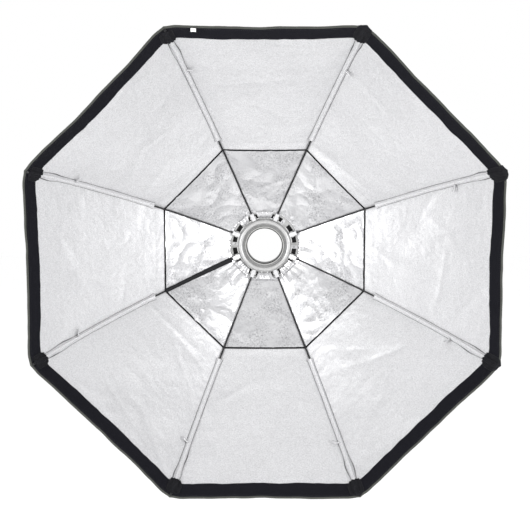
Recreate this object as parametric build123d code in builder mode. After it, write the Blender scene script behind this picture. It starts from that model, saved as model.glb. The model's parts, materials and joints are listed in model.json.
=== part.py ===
"""Octagonal studio softbox, 1.2 m corner to corner, on a folding speedring.

The softbox lies along Y: its open mouth faces -Y, the light head is fitted from +Y, and Z is up.
The origin is the centre of the bore in the speedring's mount plane. All lengths are millimetres.
Eight sprung rods stand in sockets hinged round the speedring, bow out to the corners of the mouth
and carry the canopy. Each canopy segment is centred on one rod and reaches to the middle of the
two sides next to it, so it belongs to that rod when the frame folds.
"""

import os
from math import asin, cos, degrees, radians, sin, tan

from build123d import *

# Whole object
RODS = 8
STEP = 360 / RODS
FIRST_ANGLE = STEP / 2
CORNER_RADIUS = 600.0
COS_HALF = cos(radians(STEP / 2))

# Bayonet insert, which stays on the light head
BORE_RADIUS = 48.0
SLEEVE_RADIUS = 53.0
SLEEVE_FRONT = -21.0
FLANGE_RADIUS = 72.0
FLANGE_BACK = 5.0
LUG_COUNT = 3
LUG_ANGLE = 36.0
LUG_INNER = 61.0
LUG_OUTER = 65.5
LUG_HOOK = 69.5
LUG_BACK = 14.0
HOOK_THICKNESS = 3.0
INSERT_CHAMFER = 0.8

# Speedring, which turns on the insert
RUNNING_GAP = 0.3
RING_BACK = -RUNNING_GAP
PLATE_FRONT = -4.5
GROOVE_FLOOR = -15.0
LIP_INNER = 60.0
LIP_OUTER = 72.0
LIP_SHOULDER = -18.0
LIP_CREST = -23.0
RIM_INNER = 90.5
RIM_OUTER = 93.5
RIM_FRONT = -12.0
WINDOW_INNER = 75.0
WINDOW_OUTER = 88.5
WINDOW_ANGLE = 13.0
RETAINER_OUTER = 58.5
RETAINER_THICKNESS = 2.0
RETAINER_CHAMFER = 0.4

# Hinged rod sockets
PIVOT_RADIUS = 82.0
SOCKET_WIDTH = 10.0
SOCKET_HALF_HEIGHT = 5.0
SOCKET_BACK = 8.0
SOCKET_FRONT = 14.5
SOCKET_CORNER = 1.5
ROD_BORE_START = 3.5
PIN_RADIUS = 1.5
PIN_LENGTH = 17.0
PIN_CLEARANCE = 0.05
EAR_GAP = 0.3
EAR_THICKNESS = 2.5
EAR_REACH = 6.0
EAR_TOP = 4.5

# Rods: straight out of the socket, then one long bow to the corner
ROD_RADIUS = 2.0
ROD_TIP_RADIUS = 3.2
ROD_TIP_LENGTH = 12.0
BOW_RADIUS = 910.0
BOW_START_RADIUS = 96.0
BOW_START_Y = -20.0
BOW_START_ANGLE = 20.0
ROD_END_RADIUS = 597.0

# Fabric, as distances outside the rods' bow
LINING_INNER = 3.2
LINING_OUTER = 4.3
CANOPY_INNER = 4.6
CANOPY_OUTER = 5.9
STRIP_INNER = 2.8
STRIP_OUTER = 4.4
SEAM_GAP = 0.2
CANOPY_START_ANGLE = 20.6
OCTAGON_RADIUS = 287.0
STRIP_WIDTH = 40.0
STRIP_END_GAP = 7.5
HALF_GORE_REACH = 260.0

# Rod sleeves with their corner pockets and baffle loops
SLEEVE_START_RADIUS = 318.0
CHANNEL_OUTER = 4.1
CHANNEL_INNER = 2.4
POCKET_INNER = 3.4
POCKET_LENGTH = 30.0
LOOP_RADIUS = 507.0
LOOP_WIDTH = 16.0
LOOP_LENGTH = 9.0
LOOP_THICKNESS = 1.8
LOOP_FOOT = -3.4

# Webbing wrapped round the lower left rod
WRAPPED_ROD = 5
WRAP_HALF_WIDTH = 6.5
WRAP_HALF_HEIGHT = 3.0
WRAP_HOLE = 2.1

# Collar behind the canopy, its clips, and the lock screw
COLLAR_INNER = 93.8
COLLAR_WALL = 1.5
COLLAR_LAP = 0.6
COLLAR_LAP_START = 19.9
COLLAR_LAP_END = 20.9
CLIP_ANGLES = (52.0, 177.0, 356.5)
CLIP_RADIUS = (LIP_OUTER + RIM_INNER) / 2
CLIP_WIDTH = 9.0
CLIP_THICKNESS = 2.0
CLIP_MARGIN = 0.5
SCREW_HEAD_RADIUS = 2.8
SCREW_HEAD_HEIGHT = 1.4
LOCK_Y = 2.8
LOCK_RADIUS = 2.4
LOCK_TIP = FLANGE_RADIUS + RUNNING_GAP
LOCK_KNOB_START = 97.0
LOCK_KNOB_LENGTH = 14.0
LOCK_KNOB_RADIUS = 8.0
LOCK_FLUTES = 10
FLUTE_RADIUS = 1.5
FLUTE_OFFSET = 0.5
KNOB_CHAMFER = 0.6
BOSS_INNER = 77.0
BOSS_OUTER = 89.0
BOSS_HALF_WIDTH = 6.0
BOSS_BACK = 8.0

# Blank fabric tag at the top edge of the mouth
TAG_X = -163.0
TAG_WIDTH = 12.0
TAG_HEIGHT = 8.0
TAG_THICKNESS = 0.8
TAG_DROP = 2.0
TAG_STAND_OFF = 0.5

# The hinge pin's axis, on the straight line of the rod's foot
PIVOT_Y = BOW_START_Y + (BOW_START_RADIUS - PIVOT_RADIUS) * tan(radians(BOW_START_ANGLE))

# The bow's centre, and the bow's angle where it reaches a radius
BOW_CENTRE_RADIUS = BOW_START_RADIUS - BOW_RADIUS * sin(radians(BOW_START_ANGLE))
BOW_CENTRE_Y = BOW_START_Y - BOW_RADIUS * cos(radians(BOW_START_ANGLE))


def bow_angle(radius):
    return degrees(asin((radius - BOW_CENTRE_RADIUS) / BOW_RADIUS))


ROD_END_ANGLE = bow_angle(ROD_END_RADIUS)
MOUTH_ANGLE = bow_angle(CORNER_RADIUS)
OCTAGON_ANGLE = bow_angle(OCTAGON_RADIUS)
SLEEVE_START_ANGLE = bow_angle(SLEEVE_START_RADIUS)
LOOP_ANGLE = bow_angle(LOOP_RADIUS)
STRIP_START_ANGLE = MOUTH_ANGLE - degrees(STRIP_WIDTH / BOW_RADIUS)
POCKET_START_ANGLE = ROD_END_ANGLE - degrees(POCKET_LENGTH / BOW_RADIUS)
TIP_START_ANGLE = ROD_END_ANGLE - degrees(ROD_TIP_LENGTH / BOW_RADIUS)
MOUTH_Y = BOW_CENTRE_Y + BOW_RADIUS * cos(radians(MOUTH_ANGLE))


def radial_plane(angle):
    """A plane through the softbox's axis: its local x runs outwards and its local y is the row's Y."""
    a = radians(angle)
    return Plane(origin=(0, 0, 0), x_dir=(cos(a), 0, sin(a)), z_dir=(-sin(a), 0, cos(a)))


def bow_point(angle, outside=0.0):
    """The (radius, y) of a point of the bow, or of a curve that far outside it."""
    reach = BOW_RADIUS + outside
    a = radians(angle)
    return (BOW_CENTRE_RADIUS + reach * sin(a), BOW_CENTRE_Y + reach * cos(a))


def bow_path(plane, start, end):
    """The stretch of a rod's bow between two bow angles, as a wire."""
    with BuildLine(plane) as path:
        RadiusArc(bow_point(start), bow_point(end), BOW_RADIUS)
    return path.line


def tube_along(path, outer, inner=0.0):
    """A round rod or tube along a wire."""
    with BuildPart() as tube:
        with BuildSketch(Plane(origin=path @ 0, z_dir=path % 0)):
            Circle(outer)
            if inner:
                Circle(inner, mode=Mode.SUBTRACT)
        sweep(path=path)
    return tube.part


def half_gore(rod_angle, side, inside, outside, start, end, rib_gap=0.0):
    """Half of one side of the canopy: from the middle of that side to rib_gap from the rod's plane."""
    middle = radial_plane(rod_angle + side * STEP / 2)
    centre = (BOW_CENTRE_RADIUS * COS_HALF, BOW_CENTRE_Y)
    with BuildPart() as half:
        with BuildSketch(middle.offset(-side * SEAM_GAP)):
            with BuildLine():
                near, far = (
                    EllipticalCenterArc(
                        centre,
                        (BOW_RADIUS + depth) * COS_HALF,
                        BOW_RADIUS + depth,
                        start_angle=90 - end,
                        arc_size=end - start,
                    )
                    for depth in (inside, outside)
                )
                Line(near @ 0, far @ 0)
                Line(near @ 1, far @ 1)
            make_face()
        extrude(amount=-side * HALF_GORE_REACH)
        split(
            bisect_by=radial_plane(rod_angle).offset(side * rib_gap),
            keep=Keep.TOP if side > 0 else Keep.BOTTOM,
        )
    return half.part


def save(part, name):
    part.label = name
    export_step(part, f"parts/{name}.step")


os.makedirs("parts", exist_ok=True)

# Bayonet insert: sleeve, flange and three hooked lugs
with BuildPart() as mount_insert:
    with BuildSketch(Plane.XY):
        with BuildLine():
            Polyline(
                (BORE_RADIUS, SLEEVE_FRONT),
                (SLEEVE_RADIUS, SLEEVE_FRONT),
                (SLEEVE_RADIUS, 0),
                (FLANGE_RADIUS, 0),
                (FLANGE_RADIUS, FLANGE_BACK),
                (BORE_RADIUS, FLANGE_BACK),
                close=True,
            )
        make_face()
    revolve(axis=Axis.Y)
    chamfer(mount_insert.edges().group_by(Axis.Y)[0], INSERT_CHAMFER)
    for outer, low in ((LUG_OUTER, FLANGE_BACK), (LUG_HOOK, LUG_BACK - HOOK_THICKNESS)):
        for lug in range(LUG_COUNT):
            angle = 90 + lug * 360 / LUG_COUNT
            with BuildSketch(radial_plane(angle)):
                with BuildLine():
                    Polyline(
                        (LUG_INNER, low),
                        (outer, low),
                        (outer, LUG_BACK),
                        (LUG_INNER, LUG_BACK),
                        close=True,
                    )
                make_face()
            revolve(axis=Axis.Y, revolution_arc=LUG_ANGLE)
save(mount_insert.part, "mount_insert")

# Retaining ring at the bottom of the groove, which keeps the speedring on the insert
with BuildPart() as retaining_ring:
    with BuildSketch(Plane.XZ.offset(-GROOVE_FLOOR + RUNNING_GAP)):
        Circle(RETAINER_OUTER)
        Circle(SLEEVE_RADIUS, mode=Mode.SUBTRACT)
    extrude(amount=RETAINER_THICKNESS)
    chamfer(retaining_ring.edges().group_by(Axis.Y)[0], RETAINER_CHAMFER)
save(retaining_ring.part, "retaining_ring")

# Speedring: domed lip, slotted plate, rim, hinge ears and the boss of the lock screw
with BuildPart() as speedring:
    with BuildSketch(Plane.XY):
        with BuildLine():
            Polyline(
                (LIP_OUTER, LIP_SHOULDER),
                (LIP_OUTER, PLATE_FRONT),
                (RIM_INNER, PLATE_FRONT),
                (RIM_INNER, RIM_FRONT),
                (RIM_OUTER, RIM_FRONT),
                (RIM_OUTER, RING_BACK),
                (SLEEVE_RADIUS + RUNNING_GAP, RING_BACK),
                (SLEEVE_RADIUS + RUNNING_GAP, GROOVE_FLOOR),
                (LIP_INNER, GROOVE_FLOOR),
                (LIP_INNER, LIP_SHOULDER),
            )
            ThreePointArc(
                (LIP_INNER, LIP_SHOULDER),
                ((LIP_INNER + LIP_OUTER) / 2, LIP_CREST),
                (LIP_OUTER, LIP_SHOULDER),
            )
        make_face()
    revolve(axis=Axis.Y)
    for window in range(2 * RODS):
        start = (window + 0.5) * STEP / 2 - WINDOW_ANGLE / 2
        with BuildSketch(Plane.XZ):
            with BuildLine():
                low = CenterArc((0, 0), WINDOW_INNER, start, WINDOW_ANGLE)
                high = CenterArc((0, 0), WINDOW_OUTER, start, WINDOW_ANGLE)
                Line(low @ 0, high @ 0)
                Line(low @ 1, high @ 1)
            make_face()
        extrude(amount=2 * -PLATE_FRONT, both=True, mode=Mode.SUBTRACT)
    for rod in range(RODS):
        for side in (-1, 1):
            near = side * (SOCKET_WIDTH / 2 + EAR_GAP)
            with BuildSketch(radial_plane(FIRST_ANGLE + rod * STEP).offset(near)):
                with BuildLine():
                    Polyline(
                        (PIVOT_RADIUS - EAR_REACH, PLATE_FRONT),
                        (PIVOT_RADIUS - EAR_REACH, PIVOT_Y),
                        (PIVOT_RADIUS - EAR_REACH / 2, PIVOT_Y - EAR_TOP),
                        (PIVOT_RADIUS + EAR_REACH / 2, PIVOT_Y - EAR_TOP),
                        (PIVOT_RADIUS + EAR_REACH, PIVOT_Y),
                        (PIVOT_RADIUS + EAR_REACH, PLATE_FRONT),
                        close=True,
                    )
                make_face()
                with Locations((PIVOT_RADIUS, PIVOT_Y)):
                    Circle(PIN_RADIUS, mode=Mode.SUBTRACT)
            extrude(amount=side * EAR_THICKNESS)
    with BuildSketch(Plane.YZ.offset(-BOSS_HALF_WIDTH)):
        with Locations(((BOSS_BACK + RING_BACK) / 2, -(BOSS_INNER + BOSS_OUTER) / 2)):
            Rectangle(BOSS_BACK - RING_BACK, BOSS_OUTER - BOSS_INNER)
    extrude(amount=2 * BOSS_HALF_WIDTH)
    with BuildSketch(Plane.XY.offset(-BOSS_OUTER)):
        with Locations((0, LOCK_Y)):
            Circle(LOCK_RADIUS + PIN_CLEARANCE)
    extrude(amount=BOSS_OUTER - BOSS_INNER, mode=Mode.SUBTRACT)
save(speedring.part, "speedring")

# Hinge pins through the ears and the sockets
with BuildPart() as hinge_pins:
    for rod in range(RODS):
        with BuildSketch(radial_plane(FIRST_ANGLE + rod * STEP).offset(-PIN_LENGTH / 2)):
            with Locations((PIVOT_RADIUS, PIVOT_Y)):
                Circle(PIN_RADIUS)
        extrude(amount=PIN_LENGTH)
save(hinge_pins.part, "hinge_pins")

# Stiff fabric collar between the speedring's rim and the canopy
with BuildPart() as rear_collar:
    with BuildSketch(Plane.XY):
        root = bow_point(COLLAR_LAP_START, CANOPY_OUTER + COLLAR_LAP)
        tip = bow_point(COLLAR_LAP_END, CANOPY_OUTER + COLLAR_LAP)
        with BuildLine():
            Polyline(
                (COLLAR_INNER, RING_BACK),
                (COLLAR_INNER + COLLAR_WALL, RING_BACK),
                (COLLAR_INNER + COLLAR_WALL, root[1] + COLLAR_WALL),
                (tip[0] + COLLAR_WALL / 3, tip[1] + COLLAR_WALL),
                tip,
                root,
                (COLLAR_INNER, root[1]),
                close=True,
            )
        make_face()
    revolve(axis=Axis.Y)
save(rear_collar.part, "rear_collar")

# Clips that hold the collar and the lining's edge to the plate, and their screws
with BuildPart() as canopy_clips:
    for angle in CLIP_ANGLES:
        with BuildSketch(radial_plane(angle).offset(-CLIP_WIDTH / 2)):
            with Locations((CLIP_RADIUS, PLATE_FRONT - CLIP_THICKNESS / 2)):
                Rectangle(RIM_INNER - LIP_OUTER - 2 * CLIP_MARGIN, CLIP_THICKNESS)
        extrude(amount=CLIP_WIDTH)
save(canopy_clips.part, "canopy_clips")

with BuildPart() as clip_screws:
    clip_front = PLATE_FRONT - CLIP_THICKNESS
    for angle in CLIP_ANGLES:
        with BuildSketch(radial_plane(angle)):
            with BuildLine():
                Polyline(
                    (CLIP_RADIUS, clip_front),
                    (CLIP_RADIUS, clip_front - SCREW_HEAD_HEIGHT),
                    (CLIP_RADIUS + SCREW_HEAD_RADIUS / 2, clip_front - SCREW_HEAD_HEIGHT),
                    (CLIP_RADIUS + SCREW_HEAD_RADIUS, clip_front - SCREW_HEAD_HEIGHT / 2),
                    (CLIP_RADIUS + SCREW_HEAD_RADIUS, clip_front),
                    close=True,
                )
            make_face()
        screw_centre = radial_plane(angle).from_local_coords(Vector(CLIP_RADIUS, 0, 0))
        revolve(axis=Axis(screw_centre, (0, 1, 0)))
save(clip_screws.part, "clip_screws")

# Lock screw: a shank in the boss, and the fluted knob on it
with BuildPart() as lock_screw:
    with BuildSketch(Plane.XY.offset(-LOCK_KNOB_START)):
        with Locations((0, LOCK_Y)):
            Circle(LOCK_RADIUS)
    extrude(amount=LOCK_KNOB_START - LOCK_TIP)
save(lock_screw.part, "lock_screw")

with BuildPart() as lock_knob:
    with BuildSketch(Plane.XY.offset(-LOCK_KNOB_START - LOCK_KNOB_LENGTH)):
        with Locations((0, LOCK_Y)):
            Circle(LOCK_KNOB_RADIUS)
            with PolarLocations(LOCK_KNOB_RADIUS + FLUTE_OFFSET, LOCK_FLUTES):
                Circle(FLUTE_RADIUS, mode=Mode.SUBTRACT)
    extrude(amount=LOCK_KNOB_LENGTH)
    chamfer(lock_knob.faces().sort_by(Axis.Z)[0].edges(), KNOB_CHAMFER)
save(lock_knob.part, "lock_knob")

# The eight rods with what rides on each of them
for rod in range(RODS):
    number = rod + 1
    angle = FIRST_ANGLE + rod * STEP
    plane = radial_plane(angle)
    heading = radians(-BOW_START_ANGLE)

    with BuildPart() as socket:
        along = Plane(
            origin=plane.from_local_coords(Vector(PIVOT_RADIUS, PIVOT_Y, 0)),
            x_dir=plane.x_dir * cos(heading) + plane.y_dir * sin(heading),
            z_dir=plane.z_dir,
        )
        with BuildSketch(along.offset(-SOCKET_WIDTH / 2)):
            with Locations(((SOCKET_FRONT - SOCKET_BACK) / 2, 0)):
                RectangleRounded(SOCKET_FRONT + SOCKET_BACK, 2 * SOCKET_HALF_HEIGHT, SOCKET_CORNER)
            Circle(PIN_RADIUS + PIN_CLEARANCE, mode=Mode.SUBTRACT)
        extrude(amount=SOCKET_WIDTH)
        mouth = along.location.position + along.x_dir * SOCKET_FRONT
        with BuildSketch(Plane(origin=mouth, z_dir=-along.x_dir)):
            Circle(ROD_RADIUS)
        extrude(amount=SOCKET_FRONT - ROD_BORE_START, mode=Mode.SUBTRACT)
    save(socket.part, f"socket_{number}")

    bow = bow_path(plane, BOW_START_ANGLE, ROD_END_ANGLE)
    foot = along.location.position + along.x_dir * ROD_BORE_START
    rod_tip = tube_along(bow_path(plane, TIP_START_ANGLE, ROD_END_ANGLE), ROD_TIP_RADIUS, ROD_RADIUS)
    with BuildPart() as sprung_rod:
        with BuildLine() as rod_line:
            Line(foot, bow @ 0)
            add(bow)
        with BuildSketch(Plane(origin=foot, z_dir=along.x_dir)):
            Circle(ROD_RADIUS)
        sweep(path=rod_line.line)
        add(rod_tip)
    save(sprung_rod.part, f"rod_{number}")

    channel = bow_path(plane, SLEEVE_START_ANGLE, POCKET_START_ANGLE)
    pocket = bow_path(plane, POCKET_START_ANGLE, MOUTH_ANGLE)
    loop_foot = plane.from_local_coords(Vector(*bow_point(LOOP_ANGLE, LOOP_FOOT), 0))
    turn = radians(LOOP_ANGLE)
    inwards = -(plane.x_dir * sin(turn) + plane.y_dir * cos(turn))
    with BuildPart() as rod_sleeve:
        add(tube_along(channel, CHANNEL_OUTER, CHANNEL_INNER))
        add(tube_along(pocket, CHANNEL_OUTER, POCKET_INNER))
        with BuildSketch(Plane(origin=loop_foot, x_dir=plane.z_dir, z_dir=inwards)):
            Rectangle(LOOP_WIDTH, LOOP_LENGTH)
        extrude(amount=LOOP_THICKNESS)
    save(rod_sleeve.part, f"rod_sleeve_{number}")

    for name, inside, outside, start, end, gap in (
        ("canopy", CANOPY_INNER, CANOPY_OUTER, CANOPY_START_ANGLE, MOUTH_ANGLE, 0.0),
        ("back_lining", LINING_INNER, LINING_OUTER, CANOPY_START_ANGLE, OCTAGON_ANGLE, 0.0),
        ("mouth_strip", STRIP_INNER, STRIP_OUTER, STRIP_START_ANGLE, MOUTH_ANGLE, STRIP_END_GAP),
    ):
        left = half_gore(angle, -1, inside, outside, start, end, gap)
        right = half_gore(angle, 1, inside, outside, start, end, gap)
        with BuildPart() as fabric:
            add(left)
            add(right)
        save(fabric.part, f"{name}_{number}")

# Woven webbing wrapped flat round one rod
wrap_plane = radial_plane(FIRST_ANGLE + (WRAPPED_ROD - 1) * STEP)
wrap_path = bow_path(wrap_plane, CANOPY_START_ANGLE, OCTAGON_ANGLE)
with BuildPart() as rod_wrap:
    with BuildSketch(Plane(origin=wrap_path @ 0, x_dir=wrap_plane.z_dir, z_dir=wrap_path % 0)):
        Ellipse(WRAP_HALF_WIDTH, WRAP_HALF_HEIGHT)
        Circle(WRAP_HOLE, mode=Mode.SUBTRACT)
    sweep(path=wrap_path)
save(rod_wrap.part, "rod_wrap")

# Blank tag sewn in front of the top strip
with BuildPart() as blank_tag:
    tag_z = bow_point(MOUTH_ANGLE, STRIP_INNER)[0] * COS_HALF - TAG_HEIGHT / 2 - TAG_DROP
    with BuildSketch(Plane.XZ.offset(-MOUTH_Y + TAG_STAND_OFF)):
        with Locations((TAG_X, tag_z)):
            Rectangle(TAG_WIDTH, TAG_HEIGHT)
    extrude(amount=TAG_THICKNESS)
save(blank_tag.part, "blank_tag")
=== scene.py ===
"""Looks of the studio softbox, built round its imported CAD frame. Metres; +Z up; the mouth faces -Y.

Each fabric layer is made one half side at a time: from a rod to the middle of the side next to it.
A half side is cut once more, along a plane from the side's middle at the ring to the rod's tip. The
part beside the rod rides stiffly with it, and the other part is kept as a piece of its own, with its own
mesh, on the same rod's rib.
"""

import json
import math

import bpy
import numpy as np
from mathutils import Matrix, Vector


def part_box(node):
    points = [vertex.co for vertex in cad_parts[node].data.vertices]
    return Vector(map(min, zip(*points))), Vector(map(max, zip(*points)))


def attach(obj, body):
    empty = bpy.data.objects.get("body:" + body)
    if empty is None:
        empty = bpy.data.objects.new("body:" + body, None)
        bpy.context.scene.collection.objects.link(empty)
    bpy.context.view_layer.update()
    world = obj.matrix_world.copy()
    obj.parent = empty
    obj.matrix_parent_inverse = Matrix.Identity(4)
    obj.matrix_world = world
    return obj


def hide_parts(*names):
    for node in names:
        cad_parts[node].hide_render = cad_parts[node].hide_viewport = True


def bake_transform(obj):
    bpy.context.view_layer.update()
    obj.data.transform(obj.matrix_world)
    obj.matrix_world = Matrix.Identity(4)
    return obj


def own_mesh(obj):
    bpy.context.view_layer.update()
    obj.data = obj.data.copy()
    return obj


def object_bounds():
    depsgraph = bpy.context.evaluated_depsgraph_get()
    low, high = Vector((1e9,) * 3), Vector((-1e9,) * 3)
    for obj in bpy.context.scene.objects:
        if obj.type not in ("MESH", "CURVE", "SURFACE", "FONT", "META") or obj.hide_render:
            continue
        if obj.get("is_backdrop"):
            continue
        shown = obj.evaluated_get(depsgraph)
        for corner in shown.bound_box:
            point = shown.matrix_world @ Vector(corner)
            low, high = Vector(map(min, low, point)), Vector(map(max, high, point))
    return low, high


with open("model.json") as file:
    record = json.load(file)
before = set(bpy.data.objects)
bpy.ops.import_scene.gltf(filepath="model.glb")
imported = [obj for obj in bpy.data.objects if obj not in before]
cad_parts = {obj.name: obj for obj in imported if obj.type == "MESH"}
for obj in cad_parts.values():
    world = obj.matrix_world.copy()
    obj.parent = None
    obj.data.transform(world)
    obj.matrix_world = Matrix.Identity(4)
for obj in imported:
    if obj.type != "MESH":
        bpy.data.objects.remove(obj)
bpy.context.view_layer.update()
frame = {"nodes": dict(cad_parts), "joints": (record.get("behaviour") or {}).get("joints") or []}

# ---------------------------------------------------------------- driving dimensions (as in the CAD)
FOLDS = sorted(
    (j for j in frame["joints"] if j["name"].startswith("fold_")), key=lambda j: j["name"]
)
RODS = len(FOLDS)
HALF = math.pi / RODS
BOW = 0.910
BOW_R0, BOW_Y0, BOW_A0 = 0.096, -0.020, math.radians(20.0)
BOW_CR = BOW_R0 - BOW * math.sin(BOW_A0)
BOW_CY = BOW_Y0 - BOW * math.cos(BOW_A0)
CORNER = 0.600
OCTAGON = 0.287
SLEEVE_START = 0.318
FABRIC_START = math.radians(20.6)
LAYER_BACK, LAYER_PANEL, LAYER_SHELL = 0.0036, 0.0047, 0.0059
LOOP_RADIUS = 0.507
BORE = 0.048


def bow_angle(radius):
    return math.asin((radius - BOW_CR) / BOW)


S_START = BOW * FABRIC_START
S_OCTAGON = BOW * bow_angle(OCTAGON)
S_SLEEVE = BOW * bow_angle(SLEEVE_START)
S_MOUTH = BOW * bow_angle(CORNER)
S_LOOP = BOW * bow_angle(LOOP_RADIUS)
MOUTH_Y = BOW_CY + BOW * math.cos(S_MOUTH / BOW)


def rod_angle(k):
    """The angle of rod k (from 0) in the XZ plane, from its hinge's place."""
    x, _, z = FOLDS[k]["pos_m"]
    return math.atan2(z, x)


# ---------------------------------------------------------------- noise
def _corner(ix, iy, seed):
    h = (ix.astype(np.int64) * 374761393 + iy.astype(np.int64) * 668265263 + seed * 974634777) & 0xFFFFFFFF
    h = ((h ^ (h >> 13)) * 1274126177) & 0xFFFFFFFF
    return (h ^ (h >> 16)).astype(float) / 0xFFFFFFFF * 2 * math.pi


def noise(x, y, seed):
    """Smooth gradient noise, about -0.7 to 0.7, on a unit lattice."""
    x, y = np.asarray(x, float), np.asarray(y, float)
    ix, iy = np.floor(x), np.floor(y)
    fx, fy = x - ix, y - iy
    ux, uy = fx * fx * fx * (fx * (fx * 6 - 15) + 10), fy * fy * fy * (fy * (fy * 6 - 15) + 10)

    def dot(dx, dy):
        a = _corner(ix + dx, iy + dy, seed)
        return np.cos(a) * (fx - dx) + np.sin(a) * (fy - dy)

    low = dot(0, 0) * (1 - ux) + dot(1, 0) * ux
    high = dot(0, 1) * (1 - ux) + dot(1, 1) * ux
    return low * (1 - uy) + high * uy


def crumple(x, y, size, seed, octaves=3):
    """Noise with sharp folds in it, as in creased cloth: about 0 to 1."""
    out, amount = 0.0, 1.0
    for i in range(octaves):
        out = out + amount * (1 - np.abs(noise(x / size, y / size, seed + i)) * 2)
        size, amount = size * 0.47, amount * 0.5
    return out / 2


def smooth(t):
    t = np.clip(t, 0, 1)
    return t * t * (3 - 2 * t)


# ---------------------------------------------------------------- the canopy's surfaces
def creases(gore, across, along, seed, count, width, height, length):
    """Long straight creases at chance angles, as folding leaves in a stretched panel."""
    rng = np.random.default_rng(1000 * seed + gore)
    out = np.zeros(np.broadcast(across, along).shape)
    for _ in range(count):
        c0, a0 = rng.uniform(-0.24, 0.24), rng.uniform(S_START, S_MOUTH)
        turn, bend = rng.uniform(0, math.pi), rng.normal(0, 0.5)
        u = (across - c0) * math.cos(turn) + (along - a0) * math.sin(turn)
        v = (along - a0) * math.cos(turn) - (across - c0) * math.sin(turn) + bend * u * u
        w = width * rng.uniform(0.6, 1.6)
        tall = height * rng.normal(0, 1)
        out += tall * np.exp(-np.sqrt(v * v + 2.5e-5) / w) * np.exp(-((u / (length * rng.uniform(0.5, 1.3))) ** 2))
    return out


def panel_relief(gore, x, s):
    """How far an outer silver panel stands inside its flat form, with x from -1 to 1 across it."""
    r = BOW_CR + BOW * np.sin(s / BOW)
    across = x * r * math.sin(HALF)
    edge = r * math.sin(HALF) * (1 - np.abs(x))
    at_rod = 1 - np.exp(-edge / 0.014)
    at_octagon = 1 - np.exp(-np.abs(s - S_OCTAGON) / 0.012)
    depth = np.clip((s - S_START) / (S_MOUTH - S_START), 0, 1)
    sag = 0.011 * (1 - x * x) * np.sin(math.pi * depth) ** 0.8
    folds = creases(gore, across, s, 3, 30, 0.010, 0.0016, 0.10)
    broad = 0.0036 * noise(across / 0.09 + 7.3 * gore, s / 0.13, 11)
    fine = 0.0015 * (crumple(across + 3.1 * gore, s, 0.05, 21) - 0.5)
    pucker = 0.0022 * np.exp(-edge / 0.020) * noise(s / 0.018 + 5.7 * gore, edge / 0.05 + x, 31)
    hem = 0.0015 * np.exp(-np.abs(s - S_OCTAGON) / 0.035) * noise(across / 0.020 + 9.1 * gore, s / 0.06, 41)
    return sag + (folds + broad + fine) * at_rod * at_octagon + (pucker + hem) * at_rod


FOIL_CLEAR = 0.0012


def foil_relief(gore, x, s):
    """The same for the shiny back lining inside the octagon, which is gathered at the ring."""
    r = BOW_CR + BOW * np.sin(s / BOW)
    across = x * r * math.sin(HALF)
    edge = r * math.sin(HALF) * (1 - np.abs(x))
    at_rod = 1 - np.exp(-edge / 0.008)
    at_octagon = 1 - np.exp(-np.abs(s - S_OCTAGON) / 0.010)
    depth = np.clip((s - S_START) / (S_MOUTH - S_START), 0, 1)
    sag = 0.011 * (1 - x * x) * np.sin(math.pi * depth) ** 0.8
    folds = creases(gore, across, s, 5, 16, 0.008, 0.0026, 0.07)
    big = 0.0072 * (crumple(across + 2.3 * gore, s, 0.095, 51, 2) - 0.55)
    fine = 0.0007 * (crumple(across + 4.7 * gore, s, 0.028, 61) - 0.5)
    around = (gore + x / 2) * 2.2
    gather = 0.0028 * np.exp(-(s - S_START) / 0.032) * noise(around * 3.1, s / 0.09, 71)
    inner = sag + (folds + big + fine + gather) * at_rod * at_octagon + 0.0015 * at_octagon
    return np.maximum(inner, panel_relief(gore, x, s) - FOIL_CLEAR)


MOUTH_SLACK = (0.002, 0.008, 0.010, 0.002, 0.008, 0.003, 0.005, 0.005)
TAPE_WIDER = (0.005, 0.006, 0.006, 0.000, 0.003, 0.004, 0.003, 0.000)
OCTAGON_PUSH = 0.0045
SIDE_HALF = CORNER * math.sin(HALF)
ROUND_CUT, ROUND_LENGTH = 0.0068, 0.036


def mouth_wave(gore, x):
    """How far the mouth's edge falls short of the straight line between two corners."""
    corner = smooth(1 - (1 - np.abs(x)) * SIDE_HALF / ROUND_LENGTH) ** 1.5
    wave = noise(x * 2.6 + 3.7 * gore, 0.5 + gore, 81) + 0.5 * noise(x * 6.5 + 1.9 * gore, 2.5 + gore, 83)
    return MOUTH_SLACK[gore] * (1 - x * x) + 0.0026 * (1 - x**4) * wave + ROUND_CUT * corner


def tape_wave(gore, x, s):
    """How far the inner edge of the tape at the mouth wanders, with the panel under it."""
    near = np.exp(-(((s - S_MOUTH + 0.040) / 0.016) ** 2))
    kinks = noise(x * 4.2 + 6.1 * gore, 1.5 + gore, 85) + 0.6 * noise(x * 11 + 2.3 * gore, 3.5 + gore, 87)
    return near * (TAPE_WIDER[gore] + 0.0030 * kinks * (1 - x**6))


def surface(gore, x, s, layer, relief):
    """Points of a layer: gore lies between rods gore and gore + 1, x runs from -1 to 1 between them."""
    x, s = np.broadcast_arrays(np.asarray(x, float), np.asarray(s, float))
    near_mouth = smooth((s - S_MOUTH + 0.10) / 0.10)
    lift = layer - relief(gore % RODS, x, s)
    at_octagon = np.exp(-(((s - S_OCTAGON) / 0.05) ** 2))
    inwards = near_mouth * mouth_wave(gore % RODS, x) + tape_wave(gore % RODS, x, s)
    a = (s - inwards + OCTAGON_PUSH * (1 - x * x) * at_octagon) / BOW
    r = BOW_CR + (BOW + lift) * np.sin(a)
    y = BOW_CY + (BOW + lift) * np.cos(a)
    middle = rod_angle(gore % RODS) + HALF
    out = np.array([math.cos(middle), 0, math.sin(middle)])
    side = np.array([-math.sin(middle), 0, math.cos(middle)])
    flat = r[..., None] * (math.cos(HALF) * out + math.sin(HALF) * x[..., None] * side)
    flat[..., 1] += y
    return flat


def flat_relief(gore, x, s):
    return np.zeros(np.broadcast(x, s).shape)


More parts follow.
